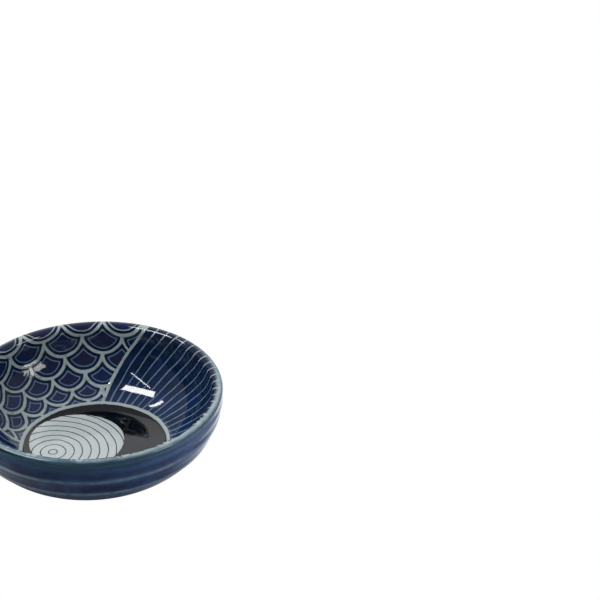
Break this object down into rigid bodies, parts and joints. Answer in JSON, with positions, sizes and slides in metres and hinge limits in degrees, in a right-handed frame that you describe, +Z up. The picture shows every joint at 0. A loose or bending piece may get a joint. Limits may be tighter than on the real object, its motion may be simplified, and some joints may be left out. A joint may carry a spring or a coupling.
{
  "type": "soy sauce dish",
  "caption": "Small round stoneware dish with a deep curved well, a rounded lip, turned ridges outside and a bare foot ring, glazed dark blue, for dipping sauce.",
  "frame": {"origin": "centre of the foot ring's face, on the table", "axes": "+Z up along the axis of the bowl, towards its mouth"},
  "size_m": [0.095, 0.095, 0.032],
  "materials": {
    "bare_clay": "fired stoneware, matt and slightly gritty",
    "well_glaze": "glossy dark blue with pale trailed lines",
    "lip_glaze": "glossy, broken to pale grey-blue where it is thin",
    "outside_glaze": "glossy dark blue, paler on the ridges",
    "base_glaze": "glossy dark blue"
  },
  "bodies": {
    "root": {"clay_body": "bare_clay", "inner_glaze": "well_glaze", "lip_glaze": "lip_glaze", "outer_glaze": "outside_glaze", "base_glaze": "base_glaze"}
  },
  "joints": []
}
